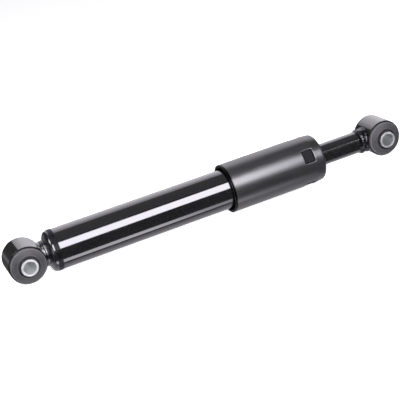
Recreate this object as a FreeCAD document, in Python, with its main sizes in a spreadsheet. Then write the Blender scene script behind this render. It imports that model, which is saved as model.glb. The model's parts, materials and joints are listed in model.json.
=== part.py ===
import FreeCAD, Part
import math
import os
import re
import Sketcher

# Cab shock absorber: a twin-tube hydraulic damper with a rubber-bushed eye at each end.
# The damper lies along X, from the centre of the lower eye at the origin to the upper eye.
# The eye bores lie along Y. It is drawn fully extended.

# Driving sizes, in millimetres, degrees or plain counts
SIZES = {
    # whole damper
    "eye_distance": 386.0,
    "slip_gap": 0.3,
    "bond_gap": 0.02,
    "run_gap": 0.05,
    # eyes and bushes
    "eye_ring_dia": 37.0,
    "eye_ring_wall": 2.5,
    "eye_ring_length": 29.0,
    "eye_ring_edge": 0.35,
    "sleeve_dia": 17.0,
    "sleeve_bore": 13.0,
    "sleeve_length": 44.0,
    "sleeve_edge": 0.6,
    "flange_dia": 34.4,
    "flange_lip": 2.1,
    "flange_rise": 2.9,
    "flange_edge": 1.1,
    "collar_dia": 21.0,
    "collar_edge": 0.4,
    "collar_groove_width": 1.2,
    "collar_groove_depth": 2.8,
    # welded lower end
    "neck_length": 1.5,
    "neck_dia": 24.6,
    "neck_waist": 0.5,
    "weld_reach": 7.0,
    "cap_toe_length": 1.2,
    "cap_toe_rise": 0.6,
    "cap_cone_length": 4.4,
    "cap_edge": 4.0,
    "cap_band_length": 2.8,
    "cap_floor": 4.0,
    "cap_oil_gap": 1.5,
    "cap_skirt_length": 6.5,
    "bead_width": 5.0,
    "bead_crown": 0.45,
    # tubes
    "tube_dia": 40.0,
    "tube_wall": 2.0,
    "tube_length": 196.5,
    "tube_lip_edge": 2.2,
    "tube_lip_width": 4.5,
    "reserve_gap": 4.0,
    "pressure_wall": 1.5,
    # base valve
    "foot_height": 10.0,
    "foot_inset": 0.1,
    "foot_wall": 2.2,
    "foot_slot_height": 4.0,
    "foot_slot_width": 6.0,
    "foot_slot_count": 4,
    "valve_flange": 4.0,
    "valve_spigot": 5.0,
    "valve_bolt_dia": 6.0,
    "valve_head_dia": 10.0,
    "valve_head": 3.0,
    "valve_nut_flats": 10.0,
    "valve_nut": 4.5,
    "valve_bolt_end": 0.8,
    "intake_thickness": 0.6,
    "intake_lap": 0.4,
    "star_height": 1.4,
    "star_thickness": 0.5,
    "star_finger_width": 2.6,
    "star_finger_count": 6,
    "shim_thickness": 0.4,
    "shim_lap": 0.5,
    "shim_step": 1.0,
    "intake_port_dia": 2.6,
    "intake_port_inset": 3.3,
    "flow_port_dia": 2.0,
    "flow_port_offset": 2.0,
    "flow_port_land": 0.3,
    "port_count": 6,
    # rod guide and seal
    "guide_spigot": 6.0,
    "guide_flange": 12.0,
    "guide_edge": 0.6,
    "guide_drain_margin": 0.5,
    "guide_drain_count": 4,
    "bush_wall": 1.5,
    "bush_length": 13.0,
    "seal_thickness": 6.0,
    "seal_lip_length": 3.0,
    "seal_lip_wall": 2.4,
    "garter_dia": 1.4,
    "retainer_thickness": 5.0,
    "retainer_bore": 15.0,
    "retainer_recess": 2.4,
    # rod and piston
    "rod_dia": 12.0,
    "rod_tail_dia": 8.0,
    "rod_chamfer": 1.0,
    "rod_tail_end": 1.5,
    "buffer_length": 8.0,
    "buffer_gap": 1.5,
    "buffer_edge": 1.5,
    "stop_thickness": 3.0,
    "stop_distance": 12.0,
    "support_thickness": 2.0,
    "support_lap": 0.3,
    "piston_length": 14.0,
    "piston_gap": 0.3,
    "piston_face_recess": 0.8,
    "band_length": 8.0,
    "band_thickness": 1.2,
    "spacer_thickness": 2.0,
    "spacer_dia": 11.0,
    "piston_nut_flats": 13.0,
    "piston_nut": 7.0,
    # dust cover and extension
    "cover_gap": 2.75,
    "cover_wall": 2.0,
    "cover_overlap": 16.2,
    "cover_top_distance": 73.0,
    "cover_taper_length": 11.0,
    "cover_taper": 1.1,
    "cover_edge": 3.0,
    "cover_rim_edge": 0.4,
    "cover_end_wall": 2.5,
    "window_length": 10.4,
    "window_width": 12.0,
    "window_distance": 12.0,
    "window_draft": 8.0,
    "window_corner": 0.8,
    "window_edge": 0.8,
    "window_count": 4,
    "window_clock": 61.0,
    "lug_recess": 1.1,
    "lug_root": 1.2,
    "carrier_wall": 1.5,
    "carrier_web": 2.5,
    "carrier_bend": 2.0,
    "carrier_skirt": 17.0,
    "carrier_depth": 7.5,
    "extension_dia": 22.2,
    "extension_overlap": 48.0,
    "upper_weld_length": 7.5,
    "upper_weld_rise": 1.3,
}

# Sizes worked out from the driving ones, in the order in which they build on each other
WORKED = {
    # radii of the eyes
    "ring_radius": "eye_ring_dia / 2",
    "ring_inner": "ring_radius - eye_ring_wall",
    "ring_half": "eye_ring_length / 2",
    "sleeve_radius": "sleeve_dia / 2",
    "sleeve_half": "sleeve_length / 2",
    "rubber_inner": "sleeve_radius + bond_gap",
    "rubber_outer": "ring_inner - bond_gap",
    "flange_radius": "flange_dia / 2",
    "flange_under": "ring_half + bond_gap",
    "flange_top": "flange_under + flange_lip",
    "collar_top": "flange_top + flange_rise",
    "collar_radius": "collar_dia / 2",
    "groove_floor": "collar_top - collar_groove_depth",
    "groove_radius": "rubber_inner + collar_groove_width",
    # radii of the tubes, rod and cover
    "tube_radius": "tube_dia / 2",
    "tube_inner": "tube_radius - tube_wall",
    "pressure_radius": "tube_inner - reserve_gap",
    "bore_radius": "pressure_radius - pressure_wall",
    "rod_radius": "rod_dia / 2",
    "tail_radius": "rod_tail_dia / 2",
    "tail_hole": "tail_radius + bond_gap",
    "cover_inner": "tube_radius + cover_gap",
    "cover_radius": "cover_inner + cover_wall",
    "carrier_radius": "cover_inner - slip_gap",
    "extension_radius": "extension_dia / 2",
    # places along the lower end
    "neck_radius": "neck_dia / 2",
    "cap_end": "ring_radius + neck_length",
    "cap_shoulder": "cap_end + cap_cone_length",
    "groove_start": "cap_shoulder + cap_band_length",
    "groove_root": "groove_start + bead_width / 2",
    "tube_bottom": "groove_root + bond_gap",
    "groove_end": "tube_bottom + bead_width / 2",
    "cap_floor_top": "cap_end + cap_floor",
    "cap_inner": "pressure_radius + cap_oil_gap",
    "cap_floor_radius": "neck_radius + bond_gap",
    "cap_top": "groove_root + cap_skirt_length",
    # ports and discs that the base valve and the piston share
    "intake_radius": "bore_radius - intake_port_inset",
    "plate_inner": "intake_radius - intake_port_dia / 2 - intake_lap",
    "plate_outer": "intake_radius + intake_port_dia / 2 + intake_lap",
    "flow_radius": "tail_radius + flow_port_offset",
    "flow_inner": "flow_radius - flow_port_dia / 2 - flow_port_land",
    "flow_outer": "flow_radius + flow_port_dia / 2 + flow_port_land",
    "shim_radius": "flow_outer + shim_lap",
    # places along the base valve
    "foot_radius": "neck_radius - foot_inset",
    "valve_under": "cap_floor_top + foot_height",
    "valve_seat": "valve_under + valve_flange",
    "valve_face": "valve_seat + valve_spigot",
    "valve_disc_top": "valve_face + intake_thickness",
    "valve_spring_top": "valve_disc_top + star_height",
    "valve_bolt_top": "valve_spring_top + valve_head",
    "valve_bolt_radius": "valve_bolt_dia / 2",
    "valve_bolt_hole": "valve_bolt_radius + bond_gap",
    "base_shims_under": "valve_under - 3 * shim_thickness",
    "valve_nut_under": "base_shims_under - valve_nut",
    # places along the top of the tube
    "tube_top": "tube_bottom + tube_length",
    "lip_under": "tube_top - tube_wall",
    "retainer_under": "lip_under - retainer_thickness",
    "seal_under": "retainer_under - seal_thickness",
    "guide_shoulder": "seal_under - guide_flange",
    "guide_under": "guide_shoulder - guide_spigot",
    "drain_radius": "(pressure_radius + tube_inner) / 2",
    "bush_radius": "rod_radius + run_gap + bush_wall",
    "bush_under": "guide_under + guide_edge",
    "seal_lip_radius": "rod_radius + run_gap + seal_lip_wall",
    "garter_centre": "seal_under - seal_lip_length / 2",
    # places down the rod
    "buffer_radius": "bore_radius - buffer_gap",
    "buffer_top": "guide_under - slip_gap",
    "buffer_under": "buffer_top - buffer_length",
    "stop_under": "buffer_under - stop_thickness",
    "rod_shoulder": "stop_under - stop_distance",
    "support_under": "rod_shoulder - support_thickness",
    "intake_top": "support_under - star_height",
    "piston_top": "intake_top - intake_thickness",
    "piston_under": "piston_top - piston_length",
    "rebound_shims_under": "piston_under - 3 * shim_thickness",
    "spacer_under": "rebound_shims_under - spacer_thickness",
    "piston_nut_under": "spacer_under - piston_nut",
    "rod_end": "piston_nut_under - rod_tail_end",
    "piston_radius": "bore_radius - piston_gap",
    "band_radius": "bore_radius - run_gap",
    "band_inner": "band_radius - band_thickness",
    "band_under": "piston_under + (piston_length - band_length) / 2",
    # places at the upper end
    "cover_top": "eye_distance - cover_top_distance",
    "cover_rim": "tube_top - cover_overlap",
    "cover_end_under": "cover_top - cover_end_wall",
    "window_end": "cover_top - window_distance",
    "window_start": "window_end - window_length",
    "carrier_top": "cover_top - carrier_depth",
    "carrier_web_under": "carrier_top - carrier_web",
    "carrier_rim": "carrier_top - carrier_skirt - carrier_web",
    "rod_top": "carrier_top + extension_overlap",
    "extension_top": "eye_distance - ring_radius / 2",
    "upper_weld_start": "eye_distance - ring_radius - upper_weld_length",
    "upper_weld_top": "eye_distance - ring_radius / 2",
}

doc = FreeCAD.newDocument("cab_shock_absorber")
size_sheet = doc.addObject("Spreadsheet::Sheet", "Sizes")
worked_sheet = doc.addObject("Spreadsheet::Sheet", "Worked")


def full(expression):
    """Give each size named in an expression the sheet that holds it."""
    def with_sheet(match):
        word = match.group(0)
        if word in SIZES:
            return "Sizes." + word
        if word in WORKED:
            return "Worked." + word
        return word
    return re.sub(r"[A-Za-z_]+", with_sheet, expression)


def value(expression):
    """The present value of an expression of named sizes."""
    return float(size_sheet.evalExpression(full(expression)))


for row, (name, number) in enumerate(SIZES.items(), start=1):
    size_sheet.set(f"A{row}", name)
    size_sheet.set(f"B{row}", str(number))
    size_sheet.setAlias(f"B{row}", name)

for row, (name, expression) in enumerate(WORKED.items(), start=1):
    worked_sheet.set(f"A{row}", name)
    worked_sheet.set(f"B{row}", "=" + full(expression))
    worked_sheet.setAlias(f"B{row}", name)

doc.recompute()

SUB_PARTS = []


def new_body(label):
    """Start a sub-part as a body whose label names its file."""
    body = doc.addObject("PartDesign::Body", label)
    body.Label = label
    SUB_PARTS.append(body)
    return body


def origin_feature(body, role):
    """One of the body's own origin planes or axes."""
    for feature in body.Origin.OriginFeatures:
        if feature.Role == role:
            return feature
    raise ValueError(role)


def new_sketch(body, name, plane, lift=None):
    """A sketch on one of the body's origin planes, lifted off it where asked."""
    sketch = body.newObject("Sketcher::SketchObject", name)
    sketch.AttachmentSupport = [(origin_feature(body, plane), "")]
    sketch.MapMode = "FlatFace"
    if lift:
        sketch.AttachmentOffset = FreeCAD.Placement(
            FreeCAD.Vector(0, 0, value(lift)), FreeCAD.Rotation())
        sketch.setExpression("AttachmentOffset.Base.z", full(lift))
    return sketch


def outline(sketch, points):
    """Close a polygon through points whose two coordinates are bound to the sheets."""
    corners = [FreeCAD.Vector(value(x), value(y), 0) for x, y in points]
    count = len(corners)
    for index in range(count):
        line = Part.LineSegment(corners[index], corners[(index + 1) % count])
        sketch.addGeometry(line, False)
    for index in range(count):
        following = (index + 1) % count
        sketch.addConstraint(Sketcher.Constraint("Coincident", index, 2, following, 1))
    for index, (x, y) in enumerate(points):
        for kind, corner, expression in (
                ("DistanceX", corners[index].x, x), ("DistanceY", corners[index].y, y)):
            number = sketch.addConstraint(
                Sketcher.Constraint(kind, -1, 1, index, 1, corner))
            sketch.setExpression(f"Constraints[{number}]", full(expression))


def circle(sketch, across, up, radius):
    """One circle in a sketch, its centre and radius bound to the sheets."""
    centre = FreeCAD.Vector(value(across), value(up), 0)
    sketch.addGeometry(Part.Circle(centre, FreeCAD.Vector(0, 0, 1), value(radius)), False)
    for kind, number, expression in (
            ("DistanceX", centre.x, across), ("DistanceY", centre.y, up)):
        index = sketch.addConstraint(Sketcher.Constraint(kind, -1, 1, 0, 3, number))
        sketch.setExpression(f"Constraints[{index}]", full(expression))
    index = sketch.addConstraint(Sketcher.Constraint("Radius", 0, value(radius)))
    sketch.setExpression(f"Constraints[{index}]", full(radius))


def turned(label, points, axis="H_Axis"):
    """A body turned about X (points are along, radius) or about Y (points are radius, along)."""
    body = new_body(label)
    sketch = new_sketch(body, label + "_profile", "XY_Plane")
    outline(sketch, points)
    turn = body.newObject("PartDesign::Revolution", label + "_turn")
    turn.Profile = sketch
    turn.ReferenceAxis = (sketch, [axis])
    turn.Angle = 360
    sketch.Visibility = False
    doc.recompute()
    return body


def cut(body, name, sketch, reverse=False, symmetric=False, draft=None):
    """Cut a sketch right through the body on one side of its plane, or on both."""
    before = body.Shape.Volume
    pocket = body.newObject("PartDesign::Pocket", name)
    pocket.Profile = sketch
    pocket.Type = "ThroughAll"
    pocket.Reversed = reverse
    pocket.SideType = "Symmetric" if symmetric else "One side"
    if draft:
        pocket.setExpression("TaperAngle", full(draft))
    doc.recompute()
    if not body.Shape.Volume < before:
        raise ValueError(name + " cuts nothing")
    return pocket


def ring_of(body, feature, count, axis="X_Axis"):
    """Repeat a feature evenly round an axis of its body."""
    pattern = body.newObject("PartDesign::PolarPattern", feature.Name + "_ring")
    pattern.Originals = [feature]
    pattern.Axis = (origin_feature(body, axis), [""])
    pattern.Angle = 360
    pattern.setExpression("Occurrences", full(count))
    body.Tip = pattern
    doc.recompute()


def holes(body, name, place, port_circle, port_dia, count, half_step=False):
    """Drill a ring of holes along X, right through the body, from a plane at the given place."""
    sketch = new_sketch(body, name + "_plan", "YZ_Plane", place)
    across = f"{port_circle} * sin(180 deg / {count})" if half_step else "0"
    up = f"{port_circle} * cos(180 deg / {count})" if half_step else port_circle
    circle(sketch, across, up, f"({port_dia}) / 2")
    ring_of(body, cut(body, name, sketch, symmetric=True), count)


def valve_ports(body, name, place):
    """Outer intake ports and, between them, inner flow ports."""
    holes(body, name + "_intake_ports", place, "intake_radius", "intake_port_dia", "port_count")
    holes(body, name + "_flow_ports", place, "flow_radius", "flow_port_dia", "port_count", True)


def round_edges(body, name, places, radius, axis="X", chamfer=False):
    """Round or chamfer the circular edges at the named (along, radius) places."""
    edges = []
    for along, edge_radius in places:
        for number, edge in enumerate(body.Shape.Edges, start=1):
            if not isinstance(edge.Curve, Part.Circle):
                continue
            centre = edge.Curve.Center
            distance = centre.x if axis == "X" else centre.y
            level = abs(distance - value(along)) < 1e-4
            if level and abs(edge.Curve.Radius - value(edge_radius)) < 1e-4:
                edges.append(f"Edge{number}")
    if len(edges) < len(places):
        raise ValueError(name + " misses an edge")
    kind = "Chamfer" if chamfer else "Fillet"
    last = body.Tip
    feature = body.newObject("PartDesign::" + kind, name)
    feature.Base = (last, edges)
    feature.setExpression("Size" if chamfer else "Radius", full(radius))
    doc.recompute()


def at_upper_eye(sub_part):
    """Move a sub-part that is drawn about the origin to the upper eye."""
    sub_part.setExpression("Placement.Base.x", full("eye_distance"))


# Eyes: a steel ring, a bonded rubber bush with flanges, and a sleeve for the bolt
def make_eye_ring(label):
    ring = turned(label, [
        ("ring_inner", "-ring_half"),
        ("ring_radius", "-ring_half"),
        ("ring_radius", "ring_half"),
        ("ring_inner", "ring_half"),
    ], "V_Axis")
    outer_edges = [("-ring_half", "ring_radius"), ("ring_half", "ring_radius")]
    round_edges(ring, label + "_edges", outer_edges, "eye_ring_edge", "Y")
    return ring


def make_bush_rubber(label):
    half = [
        ("groove_radius", "groove_floor"),
        ("collar_radius", "collar_top"),
        ("flange_radius", "flange_top"),
        ("flange_radius", "flange_under"),
        ("rubber_outer", "flange_under"),
    ]
    near = [("rubber_inner", "groove_floor")] + half
    far = [(radius, f"-({along})") for radius, along in reversed(near)]
    rubber = turned(label, near + far, "V_Axis")
    lips = [("flange_top", "flange_radius"), ("-flange_top", "flange_radius")]
    round_edges(rubber, label + "_lips", lips, "flange_edge", "Y")
    collars = [("collar_top", "collar_radius"), ("-collar_top", "collar_radius")]
    round_edges(rubber, label + "_collars", collars, "collar_edge", "Y")
    return rubber


def make_bush_sleeve(label):
    sleeve = turned(label, [
        ("sleeve_bore / 2", "-sleeve_half"),
        ("sleeve_radius", "-sleeve_half"),
        ("sleeve_radius", "sleeve_half"),
        ("sleeve_bore / 2", "sleeve_half"),
    ], "V_Axis")
    ends = [("-sleeve_half", "sleeve_radius"), ("sleeve_half", "sleeve_radius")]
    round_edges(sleeve, label + "_ends", ends, "sleeve_edge", "Y")
    return sleeve


make_eye_ring("lower_eye_ring")
make_bush_rubber("lower_bush_rubber")
make_bush_sleeve("lower_bush_sleeve")
at_upper_eye(make_eye_ring("upper_eye_ring"))
at_upper_eye(make_bush_rubber("upper_bush_rubber"))
at_upper_eye(make_bush_sleeve("upper_bush_sleeve"))


# Welds at the eyes: turned collars whose ends are saddles cut to the ring's round wall
def ring_clearance(label, centre):
    """A cylinder a hair larger than an eye ring, to cut a saddle with."""
    cylinder = doc.addObject("Part::Cylinder", label)
    cylinder.Placement = FreeCAD.Placement(
        FreeCAD.Vector(value(centre), value("ring_half"), 0),
        FreeCAD.Rotation(FreeCAD.Vector(1, 0, 0), 90))
    cylinder.setExpression("Radius", full("ring_radius + bond_gap"))
    cylinder.setExpression("Height", full("eye_ring_length"))
    cylinder.setExpression("Placement.Base.x", full(centre))
    cylinder.setExpression("Placement.Base.y", full("ring_half"))
    return cylinder


def saddled(label, blank, saddle):
    """Cut the saddle out of a turned blank, which then goes by the sub-part's label."""
    SUB_PARTS.remove(blank)
    piece = doc.addObject("Part::Cut", label)
    piece.Base = blank
    piece.Tool = saddle
    piece.Label = label
    SUB_PARTS.append(piece)
    doc.recompute()


lower_weld_blank = turned("lower_weld_blank", [
    ("cap_end - weld_reach", "0"),
    ("cap_end - weld_reach", "neck_radius + neck_waist"),
    ("cap_end - neck_length", "neck_radius - neck_waist"),
    ("cap_end", "neck_radius"),
    ("cap_end", "0"),
])
saddled("lower_eye_weld", lower_weld_blank, ring_clearance("lower_saddle", "0"))

upper_weld_blank = turned("upper_weld_blank", [
    ("upper_weld_start", "extension_radius + bond_gap"),
    ("upper_weld_start + upper_weld_length / 2", "extension_radius + upper_weld_rise"),
    ("upper_weld_top", "extension_radius + upper_weld_rise"),
    ("upper_weld_top", "extension_radius + bond_gap"),
])
saddled("upper_eye_weld", upper_weld_blank, ring_clearance("upper_saddle", "eye_distance"))

extension_blank = turned("extension_blank", [
    ("carrier_top", "rod_radius + bond_gap"),
    ("carrier_top", "extension_radius"),
    ("extension_top", "extension_radius"),
    ("extension_top", "rod_radius + bond_gap"),
])
saddled("rod_extension_tube", extension_blank, ring_clearance("extension_saddle", "eye_distance"))


# Lower end: a pressed cap, the tube, and the weld bead in the V between them
base_cap = turned("base_cap", [
    ("cap_end", "0"),
    ("cap_end", "neck_radius"),
    ("cap_end + cap_toe_length", "neck_radius + cap_toe_rise"),
    ("cap_shoulder", "tube_radius"),
    ("groove_start", "tube_radius"),
    ("groove_root", "tube_inner - bond_gap"),
    ("cap_top", "tube_inner - bond_gap"),
    ("cap_top", "cap_inner"),
    ("cap_floor_top + cap_inner - cap_floor_radius", "cap_inner"),
    ("cap_floor_top", "cap_floor_radius"),
    ("cap_floor_top", "0"),
])
round_edges(base_cap, "base_cap_edge", [("cap_shoulder", "tube_radius")], "cap_edge")

turned("base_weld_bead", [
    ("groove_start + bond_gap", "tube_radius"),
    ("groove_start + bead_width / 4", "tube_radius + bead_crown * 3 / 4"),
    ("groove_root", "tube_radius + bead_crown"),
    ("groove_end - bead_width / 4", "tube_radius + bead_crown * 3 / 4"),
    ("groove_end - bond_gap", "tube_radius"),
    ("groove_root + bond_gap / 2", "tube_inner + 2 * bond_gap"),
])

reserve_tube = turned("reserve_tube", [
    ("tube_bottom", "tube_inner"),
    ("groove_end", "tube_radius"),
    ("tube_top", "tube_radius"),
    ("tube_top", "tube_radius - tube_wall - tube_lip_width"),
    ("lip_under", "tube_radius - tube_wall - tube_lip_width"),
    ("lip_under", "tube_inner"),
])
round_edges(reserve_tube, "reserve_tube_lip", [("tube_top", "tube_radius")], "tube_lip_edge")

turned("pressure_tube", [
    ("valve_seat", "bore_radius"),
    ("valve_seat", "pressure_radius"),
    ("guide_shoulder", "pressure_radius"),
    ("guide_shoulder", "bore_radius"),
])


# Base valve: a ported body on slotted feet, with its discs, star spring, bolt and nut
def make_disc(label, under, thickness, outer, inner):
    return turned(label, [
        (under, inner),
        (under, outer),
        (f"{under} + {thickness}", outer),
        (f"{under} + {thickness}", inner),
    ])


def make_star_spring(label, low, high, outer, inner):
    """A dished washer cut into fingers, its hub at height high and its tips at height low."""
    spring = turned(label, [
        (low, outer),
        (f"{high} - star_thickness", inner),
        (high, inner),
        (f"{low} + star_thickness", outer),
    ])
    gap = new_sketch(spring, label + "_gap", "YZ_Plane", low)
    half = "star_finger_width / 2"
    outline(gap, [
        (f"-{half}", f"{inner} + star_finger_width"),
        (half, f"{inner} + star_finger_width"),
        (half, f"{outer} + star_finger_width"),
        (f"-{half}", f"{outer} + star_finger_width"),
    ])
    ring_of(spring, cut(spring, label + "_gaps", gap, symmetric=True), "star_finger_count")
    return spring


def make_nut(label, under, thickness, flats, bore):
    """A plain hexagon nut on X."""
    nut = new_body(label)
    plan = new_sketch(nut, label + "_plan", "YZ_Plane", under)
    corners = []
    for corner in range(6):
        turn = math.radians(60 * corner)
        corners.append((f"{flats} / sqrt(3) * {math.cos(turn):.9f}",
                        f"{flats} / sqrt(3) * {math.sin(turn):.9f}"))
    outline(plan, corners)
    pad = nut.newObject("PartDesign::Pad", label + "_pad")
    pad.Profile = plan
    pad.setExpression("Length", full(thickness))
    doc.recompute()
    bore_plan = new_sketch(nut, label + "_bore_plan", "YZ_Plane", under)
    circle(bore_plan, "0", "0", bore)
    cut(nut, label + "_bore", bore_plan, symmetric=True)
    return nut


base_valve = turned("base_valve_body", [
    ("cap_floor_top", "foot_radius - foot_wall"),
    ("cap_floor_top", "foot_radius"),
    ("valve_under", "foot_radius"),
    ("valve_under", "pressure_radius"),
    ("valve_seat", "pressure_radius"),
    ("valve_seat", "bore_radius - bond_gap"),
    ("valve_face", "bore_radius - bond_gap"),
    ("valve_face", "valve_bolt_hole"),
    ("valve_under", "valve_bolt_hole"),
    ("valve_under", "foot_radius - foot_wall"),
])
slot = new_sketch(base_valve, "foot_slot", "XY_Plane")
outline(slot, [
    ("cap_floor_top", "-foot_slot_width / 2"),
    ("cap_floor_top + foot_slot_height", "-foot_slot_width / 2"),
    ("cap_floor_top + foot_slot_height", "foot_slot_width / 2"),
    ("cap_floor_top", "foot_slot_width / 2"),
])
ring_of(base_valve, cut(base_valve, "foot_slots", slot, reverse=True), "foot_slot_count")
valve_ports(base_valve, "base", "valve_face")

make_disc("base_intake_disc", "valve_face", "intake_thickness", "plate_outer", "plate_inner")
make_star_spring("base_intake_spring", "valve_disc_top", "valve_spring_top",
                 "intake_radius", "valve_bolt_hole")

for place, name in enumerate(("large", "medium", "small")):
    make_disc("base_shim_" + name, f"valve_under - {place + 1} * shim_thickness", "shim_thickness",
              f"shim_radius - {place} * shim_step", "valve_bolt_hole")

turned("base_valve_bolt", [
    ("valve_nut_under - valve_bolt_end", "0"),
    ("valve_nut_under - valve_bolt_end", "valve_bolt_radius"),
    ("valve_spring_top", "valve_bolt_radius"),
    ("valve_spring_top", "valve_head_dia / 2"),
    ("valve_bolt_top", "valve_head_dia / 2"),
    ("valve_bolt_top", "0"),
])
make_nut("base_valve_nut", "valve_nut_under", "valve_nut", "valve_nut_flats", "valve_bolt_hole")


# Top of the tube: rod guide with its bush, rod seal with its garter spring, and retainer
rod_guide = turned("rod_guide", [
    ("guide_under", "bush_radius + bond_gap"),
    ("guide_under", "bore_radius - bond_gap"),
    ("guide_shoulder", "bore_radius - bond_gap"),
    ("guide_shoulder", "tube_inner - bond_gap"),
    ("seal_under", "tube_inner - bond_gap"),
    ("seal_under", "seal_lip_radius + garter_dia + slip_gap"),
    ("seal_under - seal_lip_length - slip_gap", "seal_lip_radius + garter_dia + slip_gap"),
    ("seal_under - seal_lip_length - slip_gap", "bush_radius + bond_gap"),
])
round_edges(rod_guide, "rod_guide_edge", [("guide_under", "bore_radius - bond_gap")], "guide_edge",
            chamfer=True)
holes(rod_guide, "guide_drains", "guide_shoulder", "drain_radius",
      "reserve_gap - 2 * guide_drain_margin", "guide_drain_count")

make_disc("guide_bush", "bush_under", "bush_length", "bush_radius", "rod_radius + run_gap")

turned("rod_seal", [
    ("seal_under", "tube_inner - bond_gap"),
    ("retainer_under", "tube_inner - bond_gap"),
    ("retainer_under", "retainer_bore / 2"),
    ("retainer_under + retainer_recess - slip_gap", "retainer_bore / 2 - slip_gap"),
    ("retainer_under + retainer_recess - slip_gap", "rod_radius + run_gap"),
    ("seal_under - seal_lip_length", "rod_radius + run_gap"),
    ("seal_under - seal_lip_length", "seal_lip_radius"),
    ("seal_under", "seal_lip_radius"),
])

garter = doc.addObject("Part::Torus", "seal_garter_spring")
garter.Label = "seal_garter_spring"
garter.Placement = FreeCAD.Placement(
    FreeCAD.Vector(value("garter_centre"), 0, 0),
    FreeCAD.Rotation(FreeCAD.Vector(0, 1, 0), 90))
garter.setExpression("Radius1", full("seal_lip_radius + bond_gap + garter_dia / 2"))
garter.setExpression("Radius2", full("garter_dia / 2"))
garter.setExpression("Placement.Base.x", full("garter_centre"))
SUB_PARTS.append(garter)

turned("seal_retainer", [
    ("retainer_under", "retainer_bore / 2 + slip_gap"),
    ("retainer_under", "tube_inner - bond_gap"),
    ("lip_under", "tube_inner - bond_gap"),
    ("lip_under", "rod_radius + slip_gap"),
    ("retainer_under + retainer_recess", "rod_radius + slip_gap"),
    ("retainer_under + retainer_recess", "retainer_bore / 2 + slip_gap"),
])


# Rod with its stop and buffer, and the piston with its band and valve stack
piston_rod = turned("piston_rod", [
    ("rod_end", "0"),
    ("rod_end", "tail_radius"),
    ("rod_shoulder", "tail_radius"),
    ("rod_shoulder", "rod_radius"),
    ("rod_top", "rod_radius"),
    ("rod_top", "0"),
])
round_edges(piston_rod, "piston_rod_ends", [("rod_end", "tail_radius"), ("rod_top", "rod_radius")],
            "rod_chamfer", chamfer=True)

make_disc("rebound_stop", "stop_under", "stop_thickness", "buffer_radius", "rod_radius + bond_gap")
buffer = make_disc("rebound_buffer", "buffer_under", "buffer_length", "buffer_radius",
                   "rod_radius + bond_gap")
round_edges(buffer, "rebound_buffer_edge", [("buffer_top", "buffer_radius")], "buffer_edge")

make_disc("piston_support_washer", "support_under", "support_thickness",
          "intake_radius + support_lap", "tail_hole")
make_star_spring("piston_intake_spring", "intake_top", "support_under", "intake_radius", "tail_hole")
make_disc("piston_intake_plate", "piston_top", "intake_thickness", "plate_outer", "plate_inner")

piston = turned("piston", [
    ("piston_under", "tail_hole"),
    ("piston_under", "flow_inner"),
    ("piston_under + piston_face_recess", "flow_inner"),
    ("piston_under + piston_face_recess", "flow_outer"),
    ("piston_under", "flow_outer"),
    ("piston_under", "piston_radius"),
    ("band_under", "piston_radius"),
    ("band_under", "band_inner - run_gap"),
    ("band_under + band_length", "band_inner - run_gap"),
    ("band_under + band_length", "piston_radius"),
    ("piston_top", "piston_radius"),
    ("piston_top", "tail_hole"),
])
valve_ports(piston, "piston", "piston_under")

make_disc("piston_band", "band_under + run_gap", "band_length - 2 * run_gap", "band_radius", "band_inner")

for place, name in enumerate(("large", "medium", "small")):
    make_disc("rebound_shim_" + name, f"piston_under - {place + 1} * shim_thickness", "shim_thickness",
              f"shim_radius - {place} * shim_step", "tail_hole")

make_disc("shim_spacer", "spacer_under", "spacer_thickness", "spacer_dia / 2", "tail_hole")
make_nut("piston_nut", "piston_nut_under", "piston_nut", "piston_nut_flats", "tail_hole")


# Upper end: the dust cover with its snap windows, and the carrier whose lugs fill them
def face_window(sub_part):
    """Turn a sub-part about X so that one of its windows faces the clock angle."""
    sub_part.Placement = FreeCAD.Placement(
        FreeCAD.Vector(), FreeCAD.Rotation(FreeCAD.Vector(1, 0, 0), value("window_clock")))
    sub_part.setExpression("Placement.Rotation.Angle", full("window_clock"))


def axis_distance(point):
    """How far a point of a sub-part lies from the damper's axis."""
    return math.hypot(point.y, point.z)


def is_corner(start, end):
    """An edge that runs out through the cover's wall, at a corner of a window."""
    return abs(axis_distance(start) - axis_distance(end)) > value("cover_wall / 2")


def is_rim(start, end):
    """An edge that runs round a window's mouth, on the cover's outside."""
    return min(axis_distance(start), axis_distance(end)) > value("cover_radius") - 1e-4


def round_windows(body, name, wanted, radius):
    """Round the wanted kind of edge at every window of the cover."""
    edges = []
    for number, edge in enumerate(body.Shape.Edges, start=1):
        box = edge.BoundBox
        after = box.XMin > value("window_start - cover_wall")
        before = box.XMax < value("window_end + cover_wall")
        if after and before and wanted(edge.Vertexes[0].Point, edge.Vertexes[-1].Point):
            edges.append(f"Edge{number}")
    last = body.Tip
    feature = body.newObject("PartDesign::Fillet", name)
    feature.Base = (last, edges)
    feature.setExpression("Radius", full(radius))
    doc.recompute()


def window_outline(sketch, margin):
    """A window's rectangle, drawn in by a margin on every side."""
    outline(sketch, [
        (f"window_start + {margin}", f"-window_width / 2 + {margin}"),
        (f"window_end - {margin}", f"-window_width / 2 + {margin}"),
        (f"window_end - {margin}", f"window_width / 2 - {margin}"),
        (f"window_start + {margin}", f"window_width / 2 - {margin}"),
    ])


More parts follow.
